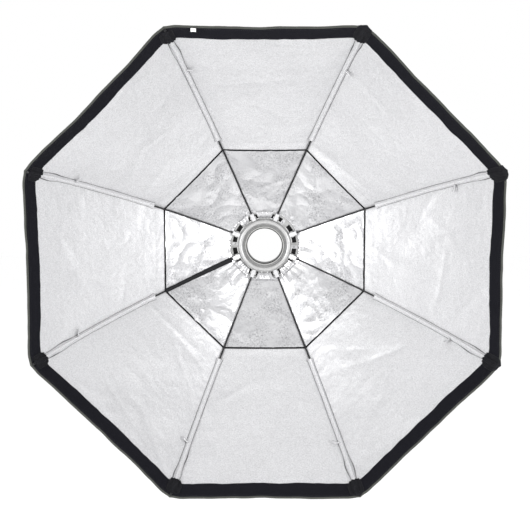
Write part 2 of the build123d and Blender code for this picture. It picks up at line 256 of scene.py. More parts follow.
def normals(gore, x, s, layer, relief, points):
    """Unit normals of a layer, towards the inside of the softbox."""
    e = 4e-4
    inwards = np.where(x < 0, 3 * e, -3 * e)
    dx = surface(gore, x + inwards, s, layer, relief) - points
    ds = surface(gore, x, s + e, layer, relief) - points
    n = np.cross(dx, ds)
    n /= np.maximum(np.linalg.norm(n, axis=-1, keepdims=True), 1e-12)
    return n * np.where(n[..., 1:2] > 0, -1.0, 1.0)


def beside_rod(k, s, across, layer, relief):
    """Points of a layer at a distance to either side of rod k: across is positive towards the next rod."""
    s, across = np.broadcast_arrays(np.asarray(s, float), np.asarray(across, float))
    reach = (BOW_CR + BOW * np.sin(s / BOW)) * math.sin(HALF) * math.cos(HALF)
    after = surface(k, -1 + np.abs(across) / reach, s, layer, relief)
    before = surface(k - 1, 1 - np.abs(across) / reach, s, layer, relief)
    return np.where(across[..., None] >= 0, after, before)


def bow_normal(k, s):
    """The direction out of the softbox, square to rod k."""
    a = rod_angle(k)
    turn = np.asarray(s, float) / BOW
    return np.stack([np.sin(turn) * math.cos(a), np.cos(turn), np.sin(turn) * math.sin(a)], -1)


class HalfSide:
    """Half of one side of the canopy: rod k to the middle of the side before (-1) or after it (+1)."""

    def __init__(self, k, side):
        self.k, self.side = k, side
        self.gore = k if side > 0 else k - 1
        self.name = f"{k + 1}{'b' if side > 0 else 'a'}"
        tip = surface(self.gore, -side, S_MOUTH, 0, flat_relief)
        root = surface(self.gore, 0.0, S_START, 0, flat_relief)
        line = (root - tip) / np.linalg.norm(root - tip)
        middle = rod_angle(self.gore % RODS) + HALF
        across = np.array([-math.sin(middle), 0, math.cos(middle)])
        axis = across - line * (across @ line)
        self.axis, self.anchor = axis / np.linalg.norm(axis), tip

    def cut(self, s):
        """Where the fold's plane crosses the half side, as a share from the rod (0) to the middle (1)."""
        rod = (surface(self.gore, -self.side, s, 0, flat_relief) - self.anchor) @ self.axis
        mid = (surface(self.gore, 0.0, s, 0, flat_relief) - self.anchor) @ self.axis
        return np.clip(rod / (rod - mid), 0, 1)

    def x_at(self, share):
        """x across the gore from the share of the way from the rod to the middle."""
        return -self.side * (1 - share)


HALVES = {(k, side): HalfSide(k, side) for k in range(RODS) for side in (-1, 1)}


def weld(points):
    """Which points to keep so that none is near another, and for each old point its new number."""
    key = np.round(points / 2e-5).astype(np.int64)
    _, first, back = np.unique(key, axis=0, return_index=True, return_inverse=True)
    return first, back.reshape(-1)


def grid_faces(rows, cols, start=0, wrap=False):
    """Quads of a grid of points, closed round its rows where wrap is set."""
    i = np.arange(rows if wrap else rows - 1)[:, None]
    j = np.arange(cols - 1)[None, :]
    up = (i + 1) % rows
    quads = np.stack([i * cols + j, i * cols + j + 1, up * cols + j + 1, up * cols + j], -1)
    return quads.reshape(-1, 4) + start


def new_mesh(name, points, faces, mats, face_mats=None, made_normals=None):
    """A smooth mesh object from points and quads or triangles, without doubled points."""
    keep, back = weld(points)
    clean, which = [], []
    numbers = face_mats if face_mats is not None else np.zeros(len(faces), int)
    for face, number in zip(faces, numbers):
        ring = []
        for v in back[face]:
            if not ring or (v != ring[-1] and v != ring[0]):
                ring.append(int(v))
        if len(ring) > 2:
            clean.append(ring)
            which.append(int(number))
    mesh = bpy.data.meshes.new(name)
    mesh.from_pydata(points[keep].tolist(), [], clean)
    mesh.polygons.foreach_set("use_smooth", [True] * len(clean))
    for m in mats:
        mesh.materials.append(m)
    mesh.polygons.foreach_set("material_index", which)
    mesh.validate()
    if made_normals is not None:
        mesh.normals_split_custom_set_from_vertices(made_normals[keep].tolist())
    mesh.update()
    obj = bpy.data.objects.new(name, mesh)
    bpy.context.scene.collection.objects.link(obj)
    return obj


def mesh_from_grids(name, grids, mats, wrap=False):
    """One mesh from several grids of (points, normals or None), with those normals where given."""
    points, faces, made = [], [], []
    count = 0
    for grid, normal in grids:
        rows, cols = grid.shape[:2]
        quads = grid_faces(rows, cols, 0, wrap)
        flat = grid.reshape(-1, 3)
        if normal is not None:
            n = normal.reshape(-1, 3)
            a, b, c, d = (flat[quads[:, i]] for i in range(4))
            if (np.cross(c - a, d - b) * n[quads[:, 0]]).sum() < 0:
                quads = quads[:, ::-1]
            made.append(n)
        points.append(flat)
        faces.append(quads + count)
        count += len(flat)
    made = np.concatenate(made) if made else None
    return new_mesh(name, np.concatenate(points), np.concatenate(faces), mats, made_normals=made)


def layer_grid(half, s, layers, share0, share1, relief, cell):
    """A grid of a layer at the rows s with their own layers, between two shares of the half side."""
    s = np.asarray(s, float)[:, None]
    layers = np.broadcast_to(np.asarray(layers, float).reshape(-1, 1), s.shape)
    low, high = share0(s), share1(s)
    r = BOW_CR + BOW * np.sin(s / BOW)
    widest = float((np.abs(high - low) * r * math.sin(HALF)).max())
    cols = max(2, int(math.ceil(widest / cell)) + 1)
    share = low + (high - low) * np.linspace(0, 1, cols)[None, :]
    x = half.x_at(share)
    s = np.broadcast_to(s, x.shape)
    points = surface(half.gore, x, s, layers, relief)
    return points, x, s, layers


def area_of(points, wrap=False):
    if wrap:
        points = np.concatenate([points, points[:1]])
    a, b, c, d = points[:-1, :-1], points[1:, :-1], points[1:, 1:], points[:-1, 1:]
    return float(np.linalg.norm(np.cross(c - a, b - d), axis=-1).sum() / 2)


def zero(s):
    return np.zeros(np.shape(s))


def one(s):
    return np.ones(np.shape(s))


def even(start, end, cell):
    return np.linspace(start, end, max(2, int(math.ceil((end - start) / cell)) + 1))


class Cloth:
    """One kind of cloth piece round all the rods, with each piece's flat size kept."""

    def __init__(self, base, mats, slot):
        self.base, self.mats, self.slot = base, mats, slot
        self.stiff, self.soft, self.sizes = {}, {}, {}

    def add(self, name, k, grids, area, half=None, wrap=False):
        obj = mesh_from_grids(name, grids, self.mats, wrap)
        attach(obj, f"rib_{k + 1}")
        if half is not None:
            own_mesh(obj)
            self.soft[half.k, half.side] = obj
        else:
            self.stiff[k] = obj
        self.sizes[obj.name] = (k, area)
        return obj

    def declare(self, rests_on, with_pieces=None):
        for obj in list(self.stiff.values()) + list(self.soft.values()):
            co = np.empty(len(obj.data.vertices) * 3)
            obj.data.vertices.foreach_get("co", co)


def layer_all_round(base, s, layers, relief, mats, slot, cell, outside=False, made=True, wrap=False, whole=False):
    """A layer of cloth round all the rods: a stiff piece at each rod and a soft one on each side of
    it, or with whole only the soft ones, each from its rod to the middle of the side."""
    cloth = Cloth(base, mats, slot)
    sign = -1.0 if outside else 1.0
    for k in range(RODS):
        stiff, area = [], 0.0
        for side in (-1, 1):
            half = HALVES[k, side]
            for soft, share0, share1 in ((False, zero, half.cut), (True, zero if whole else half.cut, one)):
                if whole and not soft:
                    continue
                points, x, rows, lay = layer_grid(half, s, layers, share0, share1, relief, cell)
                normal = sign * normals(half.gore, x, rows, lay, relief, points) if made else None
                flat = layer_grid(half, s, layers, share0, share1, flat_relief, cell)[0]
                size = area_of(flat, wrap) / (2 if wrap else 1)
                if soft:
                    cloth.add(f"{base}_soft_{half.name}", k, [(points, normal)], size, half, wrap)
                else:
                    stiff.append((points, normal))
                    area += size
        if stiff:
            cloth.add(f"{base}_{k + 1}", k, stiff, area, wrap=wrap)
    return cloth


# ---------------------------------------------------------------- materials
def material(name, build, **values):
    mat = bpy.data.materials.new(name)
    mat.use_nodes = True
    tree = mat.node_tree
    shader = tree.nodes["Principled BSDF"]
    for key, value in values.items():
        shader.inputs[key.replace("_", " ")].default_value = value
    build(tree, shader)
    return mat


def add(tree, kind, **inputs):
    node = tree.nodes.new(kind)
    for key, value in inputs.items():
        node.inputs[key.replace("_", " ")].default_value = value
    return node


def ramp(tree, source, *stops):
    node = tree.nodes.new("ShaderNodeValToRGB")
    while len(node.color_ramp.elements) < len(stops):
        node.color_ramp.elements.new(0.5)
    for element, (at, rgb) in zip(node.color_ramp.elements, stops):
        element.position = at
        element.color = (*rgb, 1)
    tree.links.new(source, node.inputs["Fac"])
    return node.outputs["Color"]


def bump(tree, shader, height, strength, distance, before=None):
    node = add(tree, "ShaderNodeBump", Strength=strength, Distance=distance)
    tree.links.new(height, node.inputs["Height"])
    if before is not None:
        tree.links.new(before.outputs["Normal"], node.inputs["Normal"])
    tree.links.new(node.outputs["Normal"], shader.inputs["Normal"])
    return node


def place(tree):
    return tree.nodes.new("ShaderNodeTexCoord").outputs["Object"]


def noise_node(tree, scale, detail=4.0, rough=0.55):
    node = add(tree, "ShaderNodeTexNoise", Scale=scale, Detail=detail, Roughness=rough)
    tree.links.new(place(tree), node.inputs["Vector"])
    return node.outputs["Fac"]


def cloth(dark, light, thread, weave_depth, grain):
    """A woven cloth: speckled colour, fine weave and a softer grain over it."""

    def build(tree, shader):
        tone = noise_node(tree, grain, 6.0, 0.7)
        tree.links.new(ramp(tree, tone, (0.35, dark), (0.65, light)), shader.inputs["Base Color"])
        cells = add(tree, "ShaderNodeTexVoronoi", Scale=1.0 / thread, Randomness=0.55)
        tree.links.new(place(tree), cells.inputs["Vector"])
        first = bump(tree, shader, cells.outputs["Distance"], 0.5, weave_depth)
        bump(tree, shader, noise_node(tree, 90.0, 5.0, 0.6), 0.35, weave_depth * 2.5, before=first)

    return build


def foil(tree, shader):
    """Pebbled silver foil: small dents of two sizes, with darker and lighter flecks."""
    tone = noise_node(tree, 230.0, 5.0, 0.8)
    stops = ((0.37, (0.26, 0.26, 0.27)), (0.47, (0.50, 0.50, 0.51)), (0.64, (0.66, 0.66, 0.67)))
    flecked = ramp(tree, tone, *stops)
    mix = tree.nodes.new("ShaderNodeMix")
    mix.data_type = "RGBA"
    mix.inputs["A"].default_value = (0.58, 0.58, 0.59, 1)
    patches = ramp(tree, noise_node(tree, 13.0, 3.0, 0.6), (0.42, (0.15,) * 3), (0.56, (1,) * 3))
    tree.links.new(patches, mix.inputs["Factor"])
    tree.links.new(flecked, mix.inputs["B"])
    tree.links.new(mix.outputs["Result"], shader.inputs["Base Color"])
    cells = add(tree, "ShaderNodeTexVoronoi", Scale=330.0, Randomness=1.0)
    cells.feature = "SMOOTH_F1"
    tree.links.new(place(tree), cells.inputs["Vector"])
    first = bump(tree, shader, cells.outputs["Distance"], 0.6, 0.0006)
    bump(tree, shader, noise_node(tree, 120.0, 3.0, 0.6), 0.25, 0.0010, before=first)


def ribbed(base, light, lines, depth):
    """Webbing or looped tape: rough pile with faint lighter fibres."""

    def build(tree, shader):
        fibres = noise_node(tree, lines, 8.0, 0.75)
        tree.links.new(ramp(tree, fibres, (0.40, base), (0.75, light)), shader.inputs["Base Color"])
        bump(tree, shader, fibres, 0.8, depth)

    return build


def metal(tone_a, tone_b, grain, depth):
    def build(tree, shader):
        tone = noise_node(tree, grain, 5.0, 0.6)
        tree.links.new(ramp(tree, tone, (0.35, tone_a), (0.7, tone_b)), shader.inputs["Base Color"])
        rough = noise_node(tree, grain * 2.3, 4.0, 0.6)
        low = add(tree, "ShaderNodeMapRange", To_Min=0.30, To_Max=0.48)
        tree.links.new(rough, low.inputs["Value"])
        tree.links.new(low.outputs["Result"], shader.inputs["Roughness"])
        bump(tree, shader, tone, 0.25, depth)

    return build


def turned_metal(tree, shader):
    """Satin metal with painted shade in the bore: the tone falls to near black inside the bore's edge, standing in for
    the shadow on the bore wall.
    """
    metal((0.46, 0.46, 0.45), (0.60, 0.60, 0.585), 220.0, 0.00008)(tree, shader)
    satin = shader.inputs["Base Color"].links[0].from_socket
    parts = tree.nodes.new("ShaderNodeSeparateXYZ")
    tree.links.new(place(tree), parts.inputs["Vector"])
    flat = tree.nodes.new("ShaderNodeCombineXYZ")
    tree.links.new(parts.outputs["X"], flat.inputs["X"])
    tree.links.new(parts.outputs["Z"], flat.inputs["Y"])
    radius = tree.nodes.new("ShaderNodeVectorMath")
    radius.operation = "LENGTH"
    tree.links.new(flat.outputs["Vector"], radius.inputs[0])
    edge = add(tree, "ShaderNodeMapRange", From_Min=BORE + 0.0024, From_Max=BORE + 0.0030)
    tree.links.new(radius.outputs["Value"], edge.inputs["Value"])
    mix = tree.nodes.new("ShaderNodeMix")
    mix.data_type = "RGBA"
    # painted shade: a near-black colour inside the bore's edge stands in for the shadow on the bore wall
    mix.inputs["A"].default_value = (0.03, 0.03, 0.03, 1)
    tree.links.new(edge.outputs["Result"], mix.inputs["Factor"])
    tree.links.new(satin, mix.inputs["B"])
    tree.links.new(mix.outputs["Result"], shader.inputs["Base Color"])


SILVER = material("silver_cloth", cloth((0.47, 0.47, 0.48), (0.71, 0.71, 0.72), 0.0011, 0.0003, 380.0),
                  Metallic=0.4, Roughness=0.42)
CHANNEL = material("silver_channel", cloth((0.46, 0.46, 0.47), (0.73, 0.73, 0.74), 0.0010, 0.00025, 440.0),
                   Metallic=0.35, Roughness=0.45)
FOIL = material("silver_foil", foil, Metallic=0.6, Roughness=0.36)
GATHERED = material("gathered_foil", foil, Metallic=0.8, Roughness=0.30)
SHELL = material("black_nylon", cloth((0.008, 0.008, 0.009), (0.018, 0.018, 0.020), 0.0009, 0.00025, 600.0),
                 Roughness=0.62, Specular_IOR_Level=0.3)
TAPE = material("loop_tape", ribbed((0.004, 0.004, 0.006), (0.013, 0.013, 0.018), 900.0, 0.0009), Roughness=0.95,
                Specular_IOR_Level=0.12)
BINDING = material("edge_binding", cloth((0.028, 0.030, 0.026), (0.055, 0.058, 0.050), 0.0012, 0.0003, 700.0),
                   Roughness=0.8)
POCKET = material("pocket_cloth", cloth((0.004, 0.004, 0.005), (0.013, 0.013, 0.016), 0.0011, 0.0004, 500.0),
                  Roughness=0.85, Specular_IOR_Level=0.15)
WEBBING = material("webbing", ribbed((0.008, 0.008, 0.009), (0.026, 0.026, 0.029), 1100.0, 0.0005), Roughness=0.8,
                   Specular_IOR_Level=0.25)
PIPING = material("piping", ribbed((0.006, 0.006, 0.007), (0.018, 0.018, 0.020), 1400.0, 0.0004), Roughness=0.7,
                  Specular_IOR_Level=0.2)
THREAD = material("grey_thread", ribbed((0.16, 0.16, 0.17), (0.30, 0.30, 0.31), 1500.0, 0.0002), Roughness=0.7)
BLACK_THREAD = material("black_thread", ribbed((0.020, 0.020, 0.022), (0.060, 0.060, 0.064), 1500.0, 0.0002),
                        Roughness=0.7)
FOLD = material("fold_shadow", ribbed((0.10, 0.10, 0.105), (0.20, 0.20, 0.205), 700.0, 0.0002), Roughness=0.8)
RING = material("ring_metal", metal((0.44, 0.44, 0.44), (0.54, 0.54, 0.535), 140.0, 0.0001), Metallic=0.5)
INSERT = material("insert_metal", turned_metal, Metallic=0.5)
# painted shade: the retaining ring is given a dark tone so that the groove it sits in shows as a dark ring
RETAINER = material("retainer_metal", metal((0.20, 0.20, 0.20), (0.28, 0.28, 0.28), 220.0, 0.00008), Metallic=0.6)
SOCKET = material("socket_metal", metal((0.58, 0.58, 0.59), (0.68, 0.68, 0.69), 180.0, 0.0001), Metallic=0.3)
STEEL = material("steel", metal((0.40, 0.40, 0.41), (0.62, 0.62, 0.63), 300.0, 0.00005), Metallic=1.0)
ROD = material("rod_black", metal((0.008, 0.008, 0.009), (0.016, 0.016, 0.018), 260.0, 0.00005), Metallic=0.1,
               Specular_IOR_Level=0.35)
KNOB = material("knob_coating", ribbed((0.012, 0.012, 0.013), (0.022, 0.022, 0.024), 800.0, 0.0003), Roughness=0.5)
TAG = material("tag_cloth", cloth((0.80, 0.80, 0.79), (0.92, 0.92, 0.91), 0.0006, 0.0001, 900.0), Roughness=0.8)


def paint(node, mat):
    obj = frame["nodes"][node]
    obj.data.materials.clear()
    obj.data.materials.append(mat)


for node in frame["nodes"]:
    base = node.rstrip("0123456789").rstrip("_")
    look = {
        "mount_insert": INSERT, "retaining_ring": RETAINER, "speedring": RING, "hinge_pins": STEEL,
        "rear_collar": SHELL, "canopy_clips": SOCKET, "clip_screws": STEEL, "lock_screw": STEEL,
        "lock_knob": KNOB, "socket": SOCKET, "rod": ROD,
    }.get(base)
    if look is not None:
        paint(node, look)

# ---------------------------------------------------------------- layers of cloth round the canopy
STRIP = 0.040
STRIP_LAYER = 0.0026
HEM = 0.031

panels = layer_all_round("panel", even(S_OCTAGON - 0.004, S_MOUTH, 0.0042), LAYER_PANEL, panel_relief,
                         [SILVER], "canopy_fabric", 0.0045)
foils = layer_all_round("back", even(S_START, S_OCTAGON, 0.0026), LAYER_BACK, foil_relief,
                        [FOIL], "silver_foil", 0.0028)
shells = layer_all_round("shell", even(S_START + 0.006, S_MOUTH, 0.009), LAYER_SHELL + 0.0008, panel_relief,
                         [SHELL], "canopy_fabric", 0.009, outside=True)


def hem_relief(gore, x, s):
    """The doubled hem outside the octagon: puckered where it is sewn."""
    r = BOW_CR + BOW * np.sin(s / BOW)
    across = x * r * math.sin(HALF)
    puffs = 0.0009 * noise(across / 0.014 + 3.3 * gore, s / 0.02, 91) * np.sin(
        math.pi * np.clip((s - S_OCTAGON) / HEM, 0, 1))
    return panel_relief(gore, x, s) + puffs


hem_s = np.concatenate([[S_OCTAGON + 0.001], even(S_OCTAGON + 0.002, S_OCTAGON + HEM - 0.001, 0.0024),
                        [S_OCTAGON + HEM]])
hem_layer = LAYER_PANEL - 0.0009 + np.where(np.arange(len(hem_s)) == len(hem_s) - 1, 0.0008, 0.0)
hems = layer_all_round("hem", hem_s, hem_layer, hem_relief, [CHANNEL], "silver_channel", 0.0045)


def ring_profile(s, layer, half_s, half_layer, count):
    """Rows round a closed flat oval about (s, layer)."""
    turn = np.linspace(0, 2 * math.pi, count, endpoint=False)
    return s + half_s * np.cos(turn), layer - half_layer * np.sin(turn)


def octagon_relief(gore, x, s):
    """The cord of the octagon lies on the panels' inner edge, and waves a little along its length."""
    return panel_relief(gore, x, np.full(np.shape(s), S_OCTAGON)) + 0.0007 * noise(x * 9 + 2.7 * gore, 0.5, 99)


def strip_relief(gore, x, s):
    """The tape at the mouth follows the panel and is a little kinked between its stitches."""
    r = BOW_CR + BOW * np.sin(s / BOW)
    across = x * r * math.sin(HALF)
    return panel_relief(gore, x, s) + 0.0006 * (1 - x * x) * noise(across / 0.035 + 8.1 * gore, s / 0.03, 97)


cord_s, cord_layer = ring_profile(S_OCTAGON - 0.0005, LAYER_BACK - 0.0004, 0.0027, 0.0006, 10)
pipings = layer_all_round("piping", cord_s, cord_layer, octagon_relief, [PIPING], "webbing", 0.006,
                          made=False, wrap=True)

strip_rows = [(S_MOUTH - STRIP, LAYER_PANEL - 0.0004), (S_MOUTH - STRIP, STRIP_LAYER + 0.0009),
              (S_MOUTH - STRIP + 0.0006, STRIP_LAYER)]
strip_rows += [(s, STRIP_LAYER) for s in even(S_MOUTH - STRIP + 0.004, S_MOUTH - 0.004, 0.004)]
strip_rows += [(S_MOUTH - 0.0008, STRIP_LAYER), (S_MOUTH, STRIP_LAYER + 0.0010)]
strip_s, strip_layer = np.array(strip_rows).T


strips = layer_all_round("strip", strip_s, strip_layer, strip_relief, [TAPE], "loop_tape", 0.005,
                         made=False, whole=True)

edge_s, edge_layer = ring_profile(S_MOUTH + 0.0006, 0.0062, 0.0030, 0.0030, 12)
bindings = layer_all_round("binding", edge_s, edge_layer, panel_relief, [BINDING], "black_fabric", 0.007,
                           made=False, whole=True, wrap=True)

out_rows = [(S_MOUTH - 0.045, LAYER_SHELL + 0.0010), (S_MOUTH - 0.0445, LAYER_SHELL + 0.0024)]
out_rows += [(s, LAYER_SHELL + 0.0025) for s in even(S_MOUTH - 0.040, S_MOUTH - 0.003, 0.006)]
out_s, out_layer = np.array(out_rows).T
out_hems = layer_all_round("outer_hem", out_s, out_layer, panel_relief, [SHELL], "black_fabric", 0.010,
                           outside=True, made=False, whole=True)

# ---------------------------------------------------------------- stitches
STITCH = 0.0030
STITCH_PITCH = 0.0046


def stitch_mesh(name, points, ups, mats, width=0.00035):
    """Short threads along a line of points, each one a slim lozenge standing a little proud."""
    steps = np.linalg.norm(np.diff(points, axis=0), axis=1)
    along = np.concatenate([[0], np.cumsum(steps)])
    count = max(1, int(along[-1] / STITCH_PITCH))
    verts, faces = [], []
    for i in range(count):
        at = (i + 0.5) * along[-1] / count
        ends = [np.array([np.interp(at + d * STITCH / 2, along, points[:, c]) for c in range(3)]) for d in (-1, 0, 1)]
        up = np.array([np.interp(at, along, ups[:, c]) for c in range(3)])
        way = ends[2] - ends[0]
        side = np.cross(way / max(np.linalg.norm(way), 1e-9), up)
        b = len(verts)
        mid = ends[1]
        verts += [ends[0] - up * width, mid + side * width, mid + up * width * 1.5, mid - side * width,
                  mid - up * width, ends[2] - up * width]
        for q in range(4):
            r = (q + 1) % 4
            faces.append((b, b + 1 + q, b + 1 + r))
            faces.append((b + 5, b + 1 + r, b + 1 + q))
    mesh = bpy.data.meshes.new(name)
    mesh.from_pydata([tuple(v) for v in verts], [], faces)
    for m in mats:
        mesh.materials.append(m)
    obj = bpy.data.objects.new(name, mesh)
    bpy.context.scene.collection.objects.link(obj)
    return obj


def stitches_on(cloth, base, s, layer, relief, mats, share0, share1, outside=False, parts=("stiff", "soft")):
    """A row of stitches along each piece of a cloth at one s, hung on the same rib as that piece."""
    made = {}
    for k in range(RODS):
        for side in (-1, 1):
            half = HALVES[k, side]
            cut = float(half.cut(np.array([s]))[0])
            spans = {"stiff": (share0, cut), "soft": (cut if "stiff" in parts else share0, share1)}
            for part in parts:
                low, high = spans[part]
                if high - low < 0.02:
                    continue
                share = np.linspace(low, high, 24)
                x = half.x_at(share)
                rows = np.full(x.shape, s)
                points = surface(half.gore, x, rows, layer, relief)
                up = normals(half.gore, x, rows, layer, relief, points) * (-1 if outside else 1)
                obj = stitch_mesh(f"{base}_{part}_{half.name}", points, up, mats)
                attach(obj, f"rib_{k + 1}")
                if part == "soft":
                    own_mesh(obj)
                    host = cloth.soft[k, side]
                else:
                    host = cloth.stiff[k]
                made.setdefault(host.name, []).append(obj)
    return made


def merge(*many):
    out = {}
    for one_of in many:
        for key, value in one_of.items():
            out.setdefault(key, []).extend(value)
    return out


hem_thread = stitches_on(hems, "hem_thread", S_OCTAGON + HEM - 0.0022, LAYER_PANEL - 0.0009, hem_relief,
                         [THREAD], 0.03, 1.0)
cord_thread = stitches_on(hems, "cord_thread", S_OCTAGON + 0.0042, LAYER_PANEL - 0.0009, hem_relief,
                          [THREAD], 0.03, 1.0)
strip_threads = [
    stitches_on(strips, f"strip_thread_{n}", at, STRIP_LAYER, strip_relief, [BLACK_THREAD],
                0.0, 1.0, parts=("soft",))
    for n, at in enumerate((S_MOUTH - STRIP + 0.0025, S_MOUTH - 0.0035))
]
out_threads = [
    stitches_on(out_hems, f"outer_thread_{n}", at, LAYER_SHELL + 0.0025, panel_relief, [BLACK_THREAD],
                0.0, 1.0, outside=True, parts=("soft",))
    for n, at in enumerate((S_MOUTH - 0.042, S_MOUTH - 0.037))
]

panels.declare(["rod", "rod_sleeve"])
foils.declare(["rod"])
shells.declare(["rod"])
hems.declare(["rod"], merge(hem_thread, cord_thread))
pipings.declare(["rod"])
strips.declare(["rod_sleeve"], merge(*strip_threads))
bindings.declare(["rod_sleeve"])
out_hems.declare(["rod_sleeve"], merge(*out_threads))
for k in range(RODS):
    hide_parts(f"canopy_{k + 1}")
    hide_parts(f"back_lining_{k + 1}")
    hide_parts(f"mouth_strip_{k + 1}")

# ---------------------------------------------------------------- the channels that hold the rods
SLEEVE_HALF = 0.0064
SLEEVE_TOP = -0.0034
THREAD_INSET = 0.0011
POCKET_REACH = 0.046
SLEEVE_END = S_MOUTH - 0.030


def rod_grid(k, s, across, layer, relief, top, core, flank):
    """Cloth over rod k: it lies on the panel beside the rod and rises over it to the height top."""
    points = beside_rod(k, s, across, layer, relief)
    rise = smooth((flank - np.abs(across)) / (flank - core))
    lift_here = layer - top
    return points - bow_normal(k, s) * (rise * lift_here)[..., None]


for k in range(RODS):
    body = f"rib_{k + 1}"
    rng = np.random.default_rng(500 + k)
    s = even(S_SLEEVE, SLEEVE_END, 0.0028)[:, None]
    t = (s - S_SLEEVE) / (S_MOUTH - S_SLEEVE)
    wide = SLEEVE_HALF + 0.0007 * noise(s / 0.045, 3.0 * k, 101) + 0.0022 * np.exp(-(s - S_SLEEVE) / 0.012)
    wide = wide + 0.0022 * np.exp(-(((t - rng.uniform(0.74, 0.86)) / 0.06) ** 2))
    across = np.linspace(-1, 1, 25)[None, :] * wide
    bend = 0.0011 * noise(s / 0.06, 7.0 + k, 103)
    chevron = 0.0007 * noise((s + np.abs(across) * 1.6) / 0.0085, 2.0 * k + np.sign(across) * 3, 105)
    puff = 0.0005 * noise(s / 0.022, across / 0.006 + 5.0 * k, 107)
    top = SLEEVE_TOP - 0.0008 * np.exp(-(s - S_SLEEVE) / 0.010) - np.abs(puff)
    layer = LAYER_PANEL - 0.0014 - np.abs(chevron)
    points = rod_grid(k, s, across + bend * smooth(np.abs(across) / 0.003), layer, panel_relief, top, 0.0022, 0.0058)
    sleeve = mesh_from_grids(f"sleeve_{k + 1}", [(points, None)], [CHANNEL])
    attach(sleeve, body)
    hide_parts(f"rod_sleeve_{k + 1}")
    for n, side in enumerate((-1, 1)):
        line = side * (wide[:, 0] - THREAD_INSET)
        row = rod_grid(k, s[:, 0], line + bend[:, 0], layer[:, 0] if layer.shape[1] == 1 else LAYER_PANEL - 0.0018,
                       panel_relief, LAYER_PANEL, 0.0001, 0.0002)
        thread = stitch_mesh(f"sleeve_thread_{n}_{k + 1}", row, -bow_normal(k, s[:, 0]), [THREAD])
        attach(thread, body)
    # the shadowed fold where the channel's edge turns under, wider where it gapes near the corner
    folds = []
    for side in (-1, 1):
        gape = rng.uniform(0.70, 0.90)
        width = 0.0008 + 0.0016 * np.exp(-(((t[:, 0] - gape) / 0.05) ** 2))
        width = width + 0.0003 * noise(s[:, 0] / 0.02, side + k, 109)
        edge = side * (wide[:, 0] + 0.0002) + bend[:, 0]
        lines = np.stack([edge, edge + side * width], 1)
        folds.append((rod_grid(k, s, lines, LAYER_PANEL - 0.0005, panel_relief, LAYER_PANEL, 0.0001, 0.0002), None))
    fold = mesh_from_grids(f"sleeve_fold_{k + 1}", folds, [FOLD])
    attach(fold, body)

    # the small ribbon loop for an inner baffle, sewn to the channel
    turn = np.linspace(0, 1, 22)
    reach = 0.0155
    u = -(0.002 + reach * np.sin(math.pi * turn) ** 0.75)
    height = -0.0046 - 0.0052 * np.sin(math.pi * np.clip(turn * 1.15, 0, 1)) + 0.0040 * smooth((turn - 0.5) / 0.5)
    slant = 0.004 * np.sin(2 * math.pi * turn) + rng.uniform(-0.001, 0.001)
    half_ribbon = 0.0021
    grid = []
    for offset in (-half_ribbon, half_ribbon):
        base_point = beside_rod(k, np.full(u.shape, S_LOOP) + slant + offset, u, 0.0, flat_relief)
        grid.append(base_point + bow_normal(k, S_LOOP) * (height + 0.0005)[:, None])
    loop_grid = np.stack(grid, 1)
    loop = mesh_from_grids(f"baffle_loop_{k + 1}", [(loop_grid, None)], [CHANNEL])
    solid = loop.modifiers.new("cloth", "SOLIDIFY")
    solid.thickness = 0.0006
    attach(loop, body)

